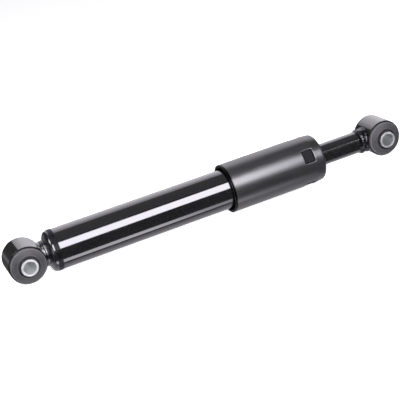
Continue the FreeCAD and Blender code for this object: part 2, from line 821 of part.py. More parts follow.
dust_cover = turned("dust_cover", [
    ("cover_rim", "cover_inner"),
    ("cover_rim", "cover_radius"),
    ("cover_top - cover_taper_length", "cover_radius"),
    ("cover_top", "cover_radius - cover_taper"),
    ("cover_top", "extension_radius + slip_gap"),
    ("cover_end_under", "extension_radius + slip_gap"),
    ("cover_end_under", "cover_inner - cover_taper"),
    ("cover_end_under - cover_taper_length / 5", "cover_inner"),
])
round_edges(dust_cover, "dust_cover_edge", [("cover_top", "cover_radius - cover_taper")], "cover_edge")
round_edges(dust_cover, "dust_cover_rim", [("cover_rim", "cover_radius")], "cover_rim_edge")
window = new_sketch(dust_cover, "window", "XY_Plane", "cover_inner - cover_wall")
window_outline(window, "0")
window_cut = cut(dust_cover, "windows", window, reverse=True, draft="window_draft")
ring_of(dust_cover, window_cut, "window_count")
round_windows(dust_cover, "window_corners", is_corner, "window_corner")
round_windows(dust_cover, "window_mouths", is_rim, "window_edge")
face_window(dust_cover)

carrier = turned("cover_carrier", [
    ("carrier_rim", "carrier_radius - carrier_wall"),
    ("carrier_rim", "carrier_radius"),
    ("carrier_top", "carrier_radius"),
    ("carrier_top", "rod_radius + bond_gap"),
    ("carrier_web_under", "rod_radius + bond_gap"),
    ("carrier_web_under", "carrier_radius - carrier_wall"),
])
round_edges(carrier, "carrier_bend", [("carrier_top", "carrier_radius")], "carrier_bend")
lug = new_sketch(carrier, "lug", "XY_Plane", "carrier_radius - lug_root")
window_outline(lug, "slip_gap")
lugs = carrier.newObject("PartDesign::Pad", "lugs")
lugs.Profile = lug
lugs.setExpression("Length", full("cover_radius - lug_recess - carrier_radius + lug_root"))
doc.recompute()
ring_of(carrier, lugs, "window_count")
face_window(carrier)


# Checks before anything is written
doc.recompute()
for item in doc.Objects:
    if "Invalid" in item.State or "Error" in item.State:
        raise RuntimeError(f"{item.Label} is {item.State}")

for sub_part in SUB_PARTS:
    shape = sub_part.Shape
    if shape.isNull() or not shape.isValid() or len(shape.Solids) != 1:
        raise RuntimeError(sub_part.Label + " is not one valid solid")

os.makedirs("parts", exist_ok=True)
for sub_part in SUB_PARTS:
    sub_part.Shape.exportStep(f"parts/{sub_part.Label}.step")
    print(f"{sub_part.Label}: {sub_part.Shape.Volume:.1f} cubic millimetres")
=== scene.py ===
# %% [markdown]
# # Cab shock absorber
#
# This lesson dresses a finished CAD model of a lorry cab's shock absorber. The CAD holds every
# size, so nothing here is moved or rescaled. We give each piece the finish that the real one has,
# lay ripples into its welds, and set up the light and the camera of a product photograph.

import json
import math

import bmesh
import bpy
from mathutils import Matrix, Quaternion, Vector

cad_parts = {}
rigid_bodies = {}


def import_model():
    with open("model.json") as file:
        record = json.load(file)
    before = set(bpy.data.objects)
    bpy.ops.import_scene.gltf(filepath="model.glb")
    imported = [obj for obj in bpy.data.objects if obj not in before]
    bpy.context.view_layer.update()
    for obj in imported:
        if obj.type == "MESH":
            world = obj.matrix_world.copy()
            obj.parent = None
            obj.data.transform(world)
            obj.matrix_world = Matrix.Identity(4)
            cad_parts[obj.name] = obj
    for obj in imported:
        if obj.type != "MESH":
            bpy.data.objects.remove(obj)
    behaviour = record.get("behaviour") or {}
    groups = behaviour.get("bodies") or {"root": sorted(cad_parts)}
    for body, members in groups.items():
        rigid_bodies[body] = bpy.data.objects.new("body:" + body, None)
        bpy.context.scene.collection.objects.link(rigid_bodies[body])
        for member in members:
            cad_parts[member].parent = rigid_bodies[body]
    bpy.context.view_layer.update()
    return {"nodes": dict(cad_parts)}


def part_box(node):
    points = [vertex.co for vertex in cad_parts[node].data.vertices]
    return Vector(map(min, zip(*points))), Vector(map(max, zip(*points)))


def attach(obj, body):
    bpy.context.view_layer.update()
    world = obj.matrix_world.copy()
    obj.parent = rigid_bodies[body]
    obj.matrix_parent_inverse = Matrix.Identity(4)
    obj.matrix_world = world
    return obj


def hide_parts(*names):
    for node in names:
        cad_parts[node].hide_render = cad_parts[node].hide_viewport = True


for default_object in list(bpy.data.objects):
    bpy.data.objects.remove(default_object)

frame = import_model()
nodes = frame["nodes"]

# %% [markdown]
# ## Camera
#
# The photograph was taken from the left and a little above, with a long lens. The damper runs up
# to the right across the picture, and part of that slope is the camera itself leaning sideways.
# A camera can be turned by hand until the view fits, but it is easier to adjust when it is
# described as a photographer would: what it aims at, how far away it stands, its heading, its
# height above the horizon and its lean.

# %% Aim the camera
camera_target = Vector((0.18255, 0.00209, -0.00307))
camera_distance = 1.0723
camera_heading = math.radians(18.442)
camera_elevation = math.radians(21.920)
camera_lean = math.radians(-12.55)
lens_length_mm = 97.79
sensor_width_mm = 36.0

level = math.cos(camera_elevation)
look = Vector((math.sin(camera_heading) * level,
               math.cos(camera_heading) * level,
               -math.sin(camera_elevation)))
lens = bpy.data.cameras.new("photo_lens")
lens.lens = lens_length_mm
lens.sensor_width = sensor_width_mm
camera = bpy.data.objects.new("photo_camera", lens)
camera.location = camera_target - look * camera_distance
camera.rotation_mode = "QUATERNION"
camera.rotation_quaternion = look.to_track_quat("-Z", "Y") @ Quaternion((0, 0, 1), camera_lean)
scene_objects = bpy.context.scene.collection.objects
scene_objects.link(camera)
bpy.context.scene.camera = camera
print("The camera stands at", [round(c, 3) for c in camera.location])

# %% [markdown]
# ## Floor
#
# A damper that lies down touches the floor at two places: the weld bead at the foot of the tube
# and the rim of the dust cover, which is a little fatter. A level floor would leave a gap under
# one of them, so the floor is a plane through both places, and it leans by about a degree.

# %% Find where the floor lies
bead_low, bead_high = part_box("base_weld_bead")
cover_low, cover_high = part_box("dust_cover")
foot_x = (bead_low.x + bead_high.x) / 2
floor_slope = (cover_low.z - bead_low.z) / (cover_low.x - foot_x)


def floor_height(x):
    """The floor's height under a place along the damper."""
    return bead_low.z + (x - foot_x) * floor_slope


print("The floor leans", round(math.degrees(math.atan(floor_slope)), 2), "degrees")

# %% [markdown]
# The floor is a sheet of pale paper. More lamps would make it as pale as in a product photograph,
# but they would also show in the gloss paint. So its material glows a little, which still leaves
# a faint shadow under the damper. The sheet is kept out of reflections, where it would turn the
# whole lower half of the tube grey, and it casts no shadow, so that a lamp can hang below it.

# %% Lay the floor
white = (1.0, 1.0, 1.0, 1.0)
paper_roughness = 0.9
floor_size = 12.0
floor_colour = (0.86, 0.86, 0.87, 1.0)
floor_glow = 0.78


def feed(socket, given):
    """Link a socket to another one, or set it to a plain value."""
    if isinstance(given, bpy.types.NodeSocket):
        socket.id_data.links.new(given, socket)
    else:
        socket.default_value = given


def put(node, **inputs):
    """Feed a node's inputs by name, with an underscore for each space in the name."""
    for name, given in inputs.items():
        feed(node.inputs[name.replace("_", " ")], given)
    return node


def paper(name, colour, glow):
    """Matt paper with a little light of its own."""
    material = bpy.data.materials.new(name)
    material.use_nodes = True
    put(material.node_tree.nodes["Principled BSDF"], Base_Color=colour, Roughness=paper_roughness,
        Emission_Color=white, Emission_Strength=glow)
    return material


half = floor_size / 2
corners = [(-half, -half), (half, -half), (half, half), (-half, half)]
floor_mesh = bpy.data.meshes.new("floor")
floor_mesh.from_pydata([(x, y, floor_height(x)) for x, y in corners], [], [(0, 1, 2, 3)])
floor_mesh.materials.append(paper("pale_paper", floor_colour, floor_glow))
floor = bpy.data.objects.new("floor", floor_mesh)
floor.visible_glossy = False
floor.visible_shadow = False
scene_objects.link(floor)
print("The floor is", floor_size, "metres wide")

# %% [markdown]
# Far away, a dome of paper stands round the floor, so that a view from low down has a pale
# background too. A bright world would do the same, but it would light the damper and show in its
# paint. Only the camera sees this dome. Its paper is black with a glow, which looks the same from
# every side.

# %% Stand the dome round the floor
black = (0.0, 0.0, 0.0, 1.0)
dome_radius = 5.0
dome_glow = 0.90
dome_segments = 64
dome_rings = 32

dome_shape = bmesh.new()
bmesh.ops.create_uvsphere(
    dome_shape, u_segments=dome_segments, v_segments=dome_rings, radius=dome_radius)
dome_mesh = bpy.data.meshes.new("paper_dome")
dome_shape.to_mesh(dome_mesh)
dome_shape.free()
dome_mesh.materials.append(paper("far_paper", black, dome_glow))
dome = bpy.data.objects.new("paper_dome", dome_mesh)
dome.visible_diffuse = False
dome.visible_glossy = False
dome.visible_transmission = False
dome.visible_shadow = False
scene_objects.link(dome)
print("The dome has", len(dome_mesh.polygons), "faces")

# %% [markdown]
# ## Studio light
#
# Black gloss paint has almost no colour of its own: what we see on it is the studio. So each
# softbox hangs where its reflection is wanted. The hard white stripe along the tube is a long
# strip above and in front. An area light could be given its power in watts, but then it would
# look dimmer whenever it grew. We give the brightness of its face instead, and work out the power.

# %% Hang the key strip
studio_tint = (1.0, 0.975, 1.06)
strip_middle = 0.171


def softbox(name, centre, aim, width, height, radiance):
    """A rectangular light with its width level, aimed at a place, and as bright as its radiance."""
    lamp = bpy.data.lights.new(name, "AREA")
    lamp.shape = "RECTANGLE"
    lamp.size = width
    lamp.size_y = height
    lamp.energy = math.pi * width * height * radiance
    lamp.color = studio_tint
    box = bpy.data.objects.new(name, lamp)
    box.location = centre
    box.rotation_mode = "QUATERNION"
    box.rotation_quaternion = (Vector(aim) - Vector(centre)).to_track_quat("-Z", "Y")
    box.visible_camera = False
    scene_objects.link(box)
    return box


def on_axis(x):
    """A place on the damper's own axis."""
    return Vector((x, 0, 0))


def round_the_tube(x, angle, distance):
    """A place beside the tube, by its angle above the side that faces the camera."""
    turn = math.radians(angle)
    return Vector((x, -distance * math.cos(turn), distance * math.sin(turn)))


key_strip = softbox(
    "key_strip", round_the_tube(strip_middle, angle=34.2, distance=0.90), on_axis(strip_middle),
    width=0.862, height=0.545, radiance=11.3)
print("The key strip takes", round(key_strip.data.energy, 2), "watts")

# %% [markdown]
# The grey stripe near the lower edge of the tube is the table's own glow. The floor itself could
# be let into the reflections, but it would be too bright there. So two weak softboxes stand for
# it: a strip low in front, and a wide one below the floor.

# %% Hang the glow of the table
table_middle = 0.12
table_strip = softbox(
    "table_strip", round_the_tube(table_middle, angle=-55.5, distance=0.40), on_axis(table_middle),
    width=0.64, height=0.140, radiance=3.8)
table_glow = softbox(
    "table_glow", (0.30, 0.2965, -0.40), (0.30, 0.2965, 0), width=1.60, height=0.807, radiance=0.58)
print("The table's glow takes", round(table_strip.data.energy + table_glow.data.energy, 2), "watts")

# %% [markdown]
# A table isn't equally bright all over. Many small lamps could imitate that, but one lamp can also
# be dimmed by nodes that read the place on its face, and then no joins show in the paint. The
# first three helpers below add one node each and feed it.

# %% Dim the glow across the table
def add(socket, kind, **inputs):
    """Add a node to the tree that a socket belongs to."""
    return put(socket.id_data.nodes.new("ShaderNode" + kind), **inputs)


def split(place):
    """The three numbers of a place, as outputs named X, Y and Z."""
    return add(place, "SeparateXYZ", Vector=place).outputs


def calculate(operation, first, second=0.0):
    """One Math node, such as MULTIPLY or MAXIMUM, fed with sockets or plain numbers."""
    node = add(first if isinstance(first, bpy.types.NodeSocket) else second, "Math")
    node.operation = operation
    feed(node.inputs[0], first)
    feed(node.inputs[1], second)
    return node.outputs[0]


def times(first, second):
    """The product of two sockets or numbers."""
    return calculate("MULTIPLY", first, second)


def fade(box, **sides):
    """Dim a softbox across its sides, by stops of a place from 0 to 1 and a brightness."""
    box.data.use_nodes = True
    tree = box.data.node_tree
    place = tree.nodes.new("ShaderNodeNewGeometry").outputs["Parametric"]
    strength = 1.0
    for side, stops in sides.items():
        ramp = add(place, "ValToRGB", Fac=split(place)[side])
        elements = ramp.color_ramp.elements
        elements.remove(elements[1])
        elements[0].position = stops[0][0]
        for position, _ in stops[1:]:
            elements.new(position)
        for element, (_, brightness) in zip(elements, stops):
            element.color = (brightness, brightness, brightness, 1.0)
        strength = times(ramp.outputs[0], strength)
    put(tree.nodes["Emission"], Strength=strength)


fade(table_strip, X=[(0.0, 0.9), (0.66, 1.0), (0.79, 0.55), (0.90, 0.36), (1.0, 0.3)])
fade(table_glow, Y=[(0.0, 1.0), (0.2, 1.0), (0.54, 0.65), (1.0, 0.5)])
print("The tree of the table's strip has", len(table_strip.data.node_tree.nodes), "nodes")

# %% [markdown]
# The pale tops of the two eyes come from a tall panel behind. It is dimmed towards its foot, its
# top and its left side, so that no hard line shows, and a faint strip near the horizon carries it
# on to the left. Two panels beside the lower eye and one beside the other end model the round
# forms there, and a dim ceiling fills in what is left. One picture of a studio, wrapped round the
# world, could light it all, but then no panel could be moved by itself.

# %% Hang the panels
lower_eye = on_axis(0.0)
damper_middle = on_axis(0.20)
cover_top = on_axis(0.31)

back_panel = softbox(
    "back_panel", (1.04, 1.20, 0.85), (1.04, 0, 0.85), width=2.30, height=2.70, radiance=1.65)
fade(back_panel, X=[(0.0, 1.0), (0.80, 1.0), (0.84, 0.95), (0.91, 0.78), (1.0, 0.62)],
     Y=[(0.0, 0.2), (0.12, 0.35), (0.25, 0.62), (0.37, 0.84), (0.53, 1.0), (0.72, 0.9),
        (0.90, 0.8), (1.0, 0.65)])
horizon_strip = softbox(
    "horizon_strip", (-0.55, 1.20, -0.13), (-0.55, 0, -0.13), width=0.60, height=0.30, radiance=0.22)
fade(horizon_strip, Y=[(0.0, 0.0), (0.5, 1.0), (1.0, 0.0)])
softbox("side_panel", (-0.42, -0.12, 0.62), lower_eye, width=0.34, height=0.34, radiance=8.5)
softbox("left_panel", (-0.78, -0.60, 0.18), lower_eye, width=0.50, height=0.50, radiance=2.0)
softbox("end_panel", (1.02, -0.76, 0.52), cover_top, width=0.24, height=0.45, radiance=9.0)
softbox("ceiling", (0.20, 0.0, 2.50), damper_middle, width=3.0, height=3.0, radiance=0.19)
print("The back panel takes", round(back_panel.data.energy, 2), "watts before it is dimmed")

# %% [markdown]
# In a real studio a black board, called a flag, keeps a lamp off one piece. Light linking does the
# same without a board that could be seen. The tops of the eye rings and the collar of the upper
# weld would burn out to white under the key strip, so it is flagged off them. A small strip that
# draws the thin bright line on the extension tube lights that tube alone.

# %% Hang the glint strip and flag the key strip
glint_middle = 0.69
glint_strip = softbox(
    "glint_strip", round_the_tube(glint_middle, angle=40.0, distance=0.90), on_axis(glint_middle),
    width=0.08, height=0.06, radiance=3.5)
extension_only = bpy.data.collections.new("lit_by_the_glint_strip")
extension_only.objects.link(nodes["rod_extension_tube"])
glint_strip.light_linking.receiver_collection = extension_only

flagged_off = bpy.data.collections.new("flagged_off_the_key_strip")
for node_name in ("lower_eye_ring", "upper_eye_ring", "upper_eye_weld"):
    flagged_off.objects.link(nodes[node_name])
for member in flagged_off.collection_objects:
    member.light_linking.link_state = "EXCLUDE"
key_strip.light_linking.receiver_collection = flagged_off
softboxes = [item.name for item in bpy.data.objects if item.type == "LIGHT"]
print("The studio has", len(softboxes), "softboxes:", ", ".join(softboxes))

# %% [markdown]
# The room beyond the softboxes is the world. It could be black, but in a real studio the walls
# send a little light back, so it keeps a trace of its own. The Standard view shows the paper's
# tone as it is: a filmic view would grey the white floor.

# %% Dim the room
room_brightness = 0.08
world = bpy.data.worlds.new("dim_studio")
world.use_nodes = True
put(world.node_tree.nodes["Background"], Color=white, Strength=room_brightness)
bpy.context.scene.world = world
bpy.context.scene.view_settings.view_transform = "Standard"
print("The room's brightness is", room_brightness)

# %% [markdown]
# ## Patterns for finishes
#
# A finish is a shader: a base colour, a roughness and fine bumps, each steered by a pattern. The
# patterns could be pictures wrapped round the pieces, but pictures blur close up and show where
# they join. Noise that is worked out for every spot has neither fault. All patterns here read
# Object coordinates, which are the CAD's own metres, so a grain of half a millimetre is 0.0005.

# %% Start a finish and its noise
noise_low = 0.3
noise_high = 0.7


def start_finish(name, **inputs):
    """A new material: its shader, and the coordinates that its patterns read."""
    material = bpy.data.materials.new(name)
    material.use_nodes = True
    tree = material.node_tree
    shader = put(tree.nodes["Principled BSDF"], **inputs)
    coordinates = tree.nodes.new("ShaderNodeTexCoord").outputs["Object"]
    return material, shader, coordinates


def grain(coordinates, size, detail=2.0, stretch=(1, 1, 1)):
    """Cloudy noise with blotches of a given size, longer where the stretch is more than one."""
    mapping = add(coordinates, "Mapping", Vector=coordinates, Scale=[1 / s for s in stretch])
    noise = add(coordinates, "TexNoise", Vector=mapping.outputs[0], Scale=1 / size, Detail=detail)
    return noise.outputs[0]


def spread(pattern, low, high, at_low, at_high):
    """Stretch the part of a pattern between two values over a new range."""
    scale = add(pattern, "MapRange", Value=pattern, From_Min=low, From_Max=high)
    return put(scale, To_Min=at_low, To_Max=at_high).outputs[0]


def vary(noise, at_low, at_high):
    """Stretch noise, which seldom leaves the middle of 0 to 1, over a new range."""
    return spread(noise, noise_low, noise_high, at_low, at_high)


print("Most of the noise lies between", noise_low, "and", noise_high)

# %% [markdown]
# Dust under paint and the pores of pressed metal are specks. Small spheres could be scattered over
# a piece, but there would be thousands of them. A Voronoi pattern divides space into cells and
# gives the distance to the middle of each, so a dot is whatever lies near that middle.

# %% Scatter specks
dust_spacing = 0.006
dust_radius = 0.00016


def below(measure, edge, soft):
    """1 up to an edge, and 0 past a soft border after it."""
    return spread(measure, edge, edge + soft, 1.0, 0.0)


def specks(coordinates, spacing, radius):
    """Small round dots, one per cell of a random lattice: 1 in a dot and 0 between."""
    cells = add(coordinates, "TexVoronoi", Vector=coordinates, Scale=1 / spacing)
    dot = radius / spacing
    return below(cells.outputs["Distance"], edge=0.6 * dot, soft=0.4 * dot)


print("A grain of dust is", round(2000 * dust_radius, 2), "millimetres across")

# %% [markdown]
# ## Black enamel
#
# The tube, the cap and the eyes are sprayed with one black enamel. Sprayed paint is never a
# perfect mirror: it dries with the faint hills of orange peel, and a few grains of dust get under
# it. The hills are only microns high, so a bump is the right tool: real geometry at that scale
# would need millions of faces.

# %% Turn patterns into tones and bumps
wave_depth = 0.00002
dust_depth = 0.00003


def tint(pattern, dark, light):
    """A colour that goes from dark to light as the pattern goes from 0 to 1."""
    mix = add(pattern, "Mix")
    mix.data_type = "RGBA"
    colours = [socket for socket in mix.inputs if socket.type == "RGBA"]
    colours[0].default_value = (*dark, 1.0)
    colours[1].default_value = (*light, 1.0)
    feed(mix.inputs[0], pattern)
    return next(socket for socket in mix.outputs if socket.type == "RGBA")


def bumps(height, depth, under=None):
    """Turn a pattern of heights into a bent normal, over another one where given."""
    bump = add(height, "Bump", Height=height, Distance=depth)
    if under:
        put(bump, Normal=under)
    return bump.outputs[0]


print("The paint's slow waves are", round(1000 * wave_depth, 3), "millimetres deep")

# %% [markdown]
# Black paint is two layers to the eye: a dark base and a clear skin over it. A single glossy base
# could stand for both, but it would blur the base and the skin alike. A coat keeps the skin sharp
# over a base that is a little rougher, which gives the wet look.

# %% Mix the enamel
paint_ior = 1.5
coat_roughness = 0.04


def plus(first, second):
    """The sum of two sockets or numbers."""
    return calculate("ADD", first, second)


def black_enamel(name, body, roughness, peel_size, peel_depth, coat=1.0, gloss=0.5):
    """Black paint with orange peel, slow waves, dust grains and a trace of haze."""
    material, shader, place = start_finish(
        name, IOR=paint_ior, Specular_IOR_Level=gloss, Coat_Weight=coat,
        Coat_Roughness=coat_roughness, Coat_IOR=paint_ior)
    haze = grain(place, size=0.03, detail=3.0)
    waves = grain(place, size=0.022, detail=1.0, stretch=(3, 1, 1))
    peel = grain(place, size=peel_size)
    dust = specks(place, dust_spacing, dust_radius)
    darker = [channel * 0.75 for channel in body]
    paler = [channel * 1.3 for channel in body]
    put(shader, Base_Color=tint(haze, darker, paler))
    hazy = vary(haze, roughness * 0.8, roughness * 1.25)
    dusty = times(dust, 0.25)
    put(shader, Roughness=plus(hazy, dusty))
    hills = bumps(waves, wave_depth)
    hills = bumps(peel, peel_depth, under=hills)
    hills = bumps(dust, dust_depth, under=hills)
    put(shader, Normal=hills, Coat_Normal=hills)
    return material


mirrored = ((paint_ior - 1) / (paint_ior + 1)) ** 2
print("Seen head on, the clear coat mirrors", round(100 * mirrored, 1), "percent of the light")

# %% [markdown]
# One paint could serve for all, but it lies differently on each piece. It is smoothest on the
# tube and a little rougher on the cap and the eyes. On the extension tube it has coarse hills,
# which break its highlight into dashes.

# %% Paint the tube, the eyes and the extension
deep_black = (0.003, 0.003, 0.0034)
soft_black = (0.004, 0.004, 0.0045)
finishes = {}
finishes["tube_paint"] = black_enamel(
    "tube_enamel", deep_black, roughness=0.12, peel_size=0.0016, peel_depth=0.000006)
finishes["eye_paint"] = black_enamel(
    "eye_enamel", soft_black, roughness=0.15, peel_size=0.0013, peel_depth=0.000010)
finishes["extension_paint"] = black_enamel(
    "extension_enamel", deep_black, roughness=0.15, peel_size=0.0030, peel_depth=0.000055)
print("Coated enamels:", ", ".join(finishes))

# %% [markdown]
# The paint runs together on the welds of the lower eye and shines more there. On the seam, on the
# knobs of the upper weld and on the carrier inside the cover it is thin, so these have no clear
# coat and only part of the gloss. A paler black would be the wrong tool: it is the gloss that
# differs.

# %% Thick and thin paint
finishes["weld_paint"] = black_enamel(
    "weld_enamel", deep_black, roughness=0.15, peel_size=0.0009, peel_depth=0.000008, gloss=1.0)
finishes["carrier_paint"] = black_enamel(
    "carrier_enamel", soft_black, roughness=0.6, peel_size=0.0007, peel_depth=0.000020,
    coat=0.0, gloss=0.10)
seam_enamel = black_enamel(
    "seam_enamel", deep_black, roughness=0.20, peel_size=0.0009, peel_depth=0.000020,
    coat=0.0, gloss=0.25)
knob_enamel = black_enamel(
    "knob_enamel", deep_black, roughness=0.14, peel_size=0.0009, peel_depth=0.000020,
    coat=0.0, gloss=0.42)
print("Enamels for slots of the CAD:", ", ".join(finishes))

# %% [markdown]
# ## Moulded plastic
#
# The dust cover is injection moulded. Its tool was spark eroded, which leaves a fine even grain,
# and the melt leaves faint streaks along the cover as it flows. Both make the gloss soft: the
# same softbox that is a sharp stripe on the tube is a wide glow here. A higher roughness alone
# would give that glow too, but the cover would look airbrushed. The buffer and the band inside
# the damper are moulded as well, in other colours.

# %% Satin plastic
plastic_ior = 1.55


def minus(first, second):
    """The difference of two sockets or numbers."""
    return calculate("SUBTRACT", first, second)


def moulded_plastic(name, colour, streak_tone, roughness, shade_at=None):
    """Satin plastic with spark-eroded grain and flow streaks, and black painted shade where masked.
    """
    material, shader, place = start_finish(
        name, IOR=plastic_ior, Specular_IOR_Level=1.0, Sheen_Weight=0.08, Sheen_Roughness=0.3)
    streaks = grain(place, size=0.004, detail=3.0, stretch=(14, 1, 1))
    cloud = grain(place, size=0.02)
    erosion = grain(place, size=0.00045)
    shade = spread(streaks, low=0.0, high=1.0, at_low=streak_tone, at_high=1.0)
    # Painted shade: where the mask is 1, the colour goes black and the surface becomes a black metal
    # that reflects almost nothing.
    if shade_at:
        painted_shade = shade_at(place)
        shade = times(shade, minus(1.0, painted_shade))
        put(shader, Metallic=painted_shade)
    put(shader, Base_Color=tint(shade, black[:3], colour))
    streaky = vary(streaks, roughness - 0.03, roughness + 0.03)
    put(shader, Roughness=plus(streaky, vary(cloud, -0.02, 0.02)))
    put(shader, Normal=bumps(erosion, depth=0.000014, under=bumps(streaks, depth=0.000012)))
    return material


finishes["buffer_plastic"] = moulded_plastic(
    "buffer_plastic", (0.52, 0.50, 0.42), streak_tone=0.8077, roughness=0.45)
finishes["band_plastic"] = moulded_plastic(
    "band_plastic", (0.08, 0.10, 0.085), streak_tone=0.6875, roughness=0.35)
print("Plastics so far:", ", ".join(slot for slot in finishes if slot.endswith("plastic")))

# %% [markdown]
# The cover's trimmed rim, its mouth and the edges of its windows are rounder on the real one than
# in the CAD, and they lie in shade, so the material paints that shade on: black, with no gloss. A
# second material would end in a hard line there, so one material loses its gloss where a mask says
# so: a metal whose colour is black reflects almost nothing. The mask needs only two measures, the
# place along the damper and the distance from its axis.

# %% Measure from the damper's axis
cover_radius = cover_high.z


def length_of(first, second):
    """The length of two sides at a right angle."""
    squares = plus(times(first, first), times(second, second))
    return calculate("POWER", squares, 0.5)


def axis_radius(coordinates):
    """The distance from the damper's own axis."""
    place = split(coordinates)
    return length_of(place["Y"], place["Z"])


print("The cover is", round(2 * cover_radius, 4), "metres across")

# %% [markdown]
# The rim is a band at the cover's lower end, the mouth is the inner wall near it, and a window's
# edge lies just under the outer wall between the window's two ends. Each is one soft step or a
# product of several, and the mask of painted shade is the highest of the three.

# %% Paint shade on the cover's edges
rim_width = 0.0011
mouth_depth = 0.030
inner_depth = 0.0016
window_to_top = 0.0120
window_length = 0.0125
window_margin = 0.0010
window_edge_depth = 0.0006
window_shade_strength = 0.72
window_end = cover_high.x - window_to_top


def beyond(measure, edge, soft, most=1.0):
    """0 up to an edge, and the most past a soft border after it."""
    return spread(measure, edge, edge + soft, 0.0, most)


def painted_edge_shade(place):
    """Painted shade: 1 on the rim and in the mouth, somewhat less on window edges, 0 on the outer
    wall.
    """
    along = split(place)["X"]
    radius = axis_radius(place)
    rim = below(along, cover_low.x + rim_width, soft=0.0012)
    near_mouth = below(along, cover_low.x + mouth_depth, soft=0.0010)
    inner_wall = below(radius, cover_radius - inner_depth, soft=0.0002)
    mouth = calculate("MAXIMUM", rim, times(near_mouth, inner_wall))
    past_start = beyond(along, window_end - window_length, soft=0.0010, most=window_shade_strength)
    before_end = below(along, window_end + window_margin, soft=0.0005)
    sunk = below(radius, cover_radius - window_edge_depth, soft=0.0003)
    window_edge = times(times(past_start, before_end), sunk)
    return calculate("MAXIMUM", mouth, window_edge)


finishes["cover_plastic"] = moulded_plastic(
    "satin_cover_plastic", (0.008, 0.008, 0.0088), streak_tone=0.625, roughness=0.32,
    shade_at=painted_edge_shade)
print("The cover's windows end at", round(window_end, 4), "metres along the damper")

# %% [markdown]
# ## Rubber
#
# The bushes are vulcanised in a turned mould, so their faces carry the fine rings of the lathe
# that cut it. The rings could be modelled, but they are too fine to change an outline, so a tone
# and bumps do. They follow the distance from an eye's own axis, which we work out from the
# coordinates, so one material fits both bushes.

# %% Measure from the nearer eye
eye_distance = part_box("upper_eye_ring")[0].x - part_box("lower_eye_ring")[0].x


def eye_radius(coordinates):
    """The distance from the axis of the nearer eye."""
    place = split(coordinates)
    from_lower = calculate("ABSOLUTE", place["X"])
    from_upper = calculate("ABSOLUTE", minus(place["X"], eye_distance))
    return length_of(calculate("MINIMUM", from_lower, from_upper), place["Z"])


def rings(radius, pitch):
    """Fine ridges at every step of a radius, from 0 to 1."""
    wave = calculate("SINE", times(radius, 2 * math.pi / pitch))
    return spread(wave, low=-1.0, high=1.0, at_low=0.0, at_high=1.0)


print("The eyes are", round(eye_distance, 4), "metres apart")

# %% [markdown]
# Wax that rises to the surface of rubber in storage, called bloom, greys the black in patches. The
# lip of a bush is painted paler all round, a painted highlight where its rounded edge catches the
# light. One flat grey would look like plastic, so the tone is a sum of three patterns: the patches,
# the painted highlight on the lip and the rings.

# %% Rubber for the bushes and the seal
rubber_ior = 1.52
lip_start = 0.0157


def moulded_rubber(name, radius_of, lip_radius, dark, light, roughness):
    """Matt rubber with lathe rings from its mould, bloom patches and a painted highlight on its lip.
    """
    material, shader, place = start_finish(name, IOR=rubber_ior)
    radius = radius_of(place)
    bloom = grain(place, size=0.0045, detail=4.0)
    skin = grain(place, size=0.0006)
    ridges = rings(radius, pitch=0.0016)
    bands = rings(radius, pitch=0.0034)
    ringed = plus(times(ridges, 0.10), times(bands, 0.16))
    # Painted highlight: the lip is paler all round, where its rounded edge catches the light.
    lip = beyond(radius, lip_radius, soft=0.0009, most=0.78)
    patches = spread(bloom, low=0.32, high=0.68, at_low=-0.05, at_high=0.17)
    put(shader, Base_Color=tint(plus(plus(patches, lip), ringed), dark, light))
    put(shader, Roughness=vary(bloom, roughness - 0.06, roughness + 0.06))
    put(shader, Normal=bumps(skin, depth=0.00004, under=bumps(ridges, depth=0.00009)))
    return material


finishes["bush_rubber"] = moulded_rubber(
    "bush_rubber", eye_radius, lip_start, dark=(0.010, 0.0097, 0.0104), light=(0.062, 0.061, 0.064),
    roughness=0.62)
finishes["seal_rubber"] = moulded_rubber(
    "seal_rubber", axis_radius, lip_start, dark=(0.018, 0.018, 0.018), light=(0.05, 0.05, 0.05),
    roughness=0.55)
print("The lip of a bush starts", round(1000 * lip_start, 1), "millimetres from its eye's axis")

# %% [markdown]
# ## Zinc plate
#
# The sleeves are steel with zinc on it: silvery, with a breath of green. Their walls are fairly
# smooth and their ends are coarsely turned. Two materials could do that, but the finish changes
# along one piece, so masks of length and radius steer one material. The bores are a little dull,
# because plating hardly reaches inside, and the photograph shows that most in the lower one. The
# rounding at the outer edge of each end is painted darker: painted shade, where it turns away into
# the dark groove of the rubber.

# %% Zinc for the sleeves
sleeve_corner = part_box("lower_bush_sleeve")[1]
sleeve_radius = sleeve_corner.z
sleeve_half_length = sleeve_corner.y
end_depth = 0.0003
rounding_width = 0.0007
bore_edge = 0.0066
lower_bore_metal = 0.62
upper_bore_metal = 0.95


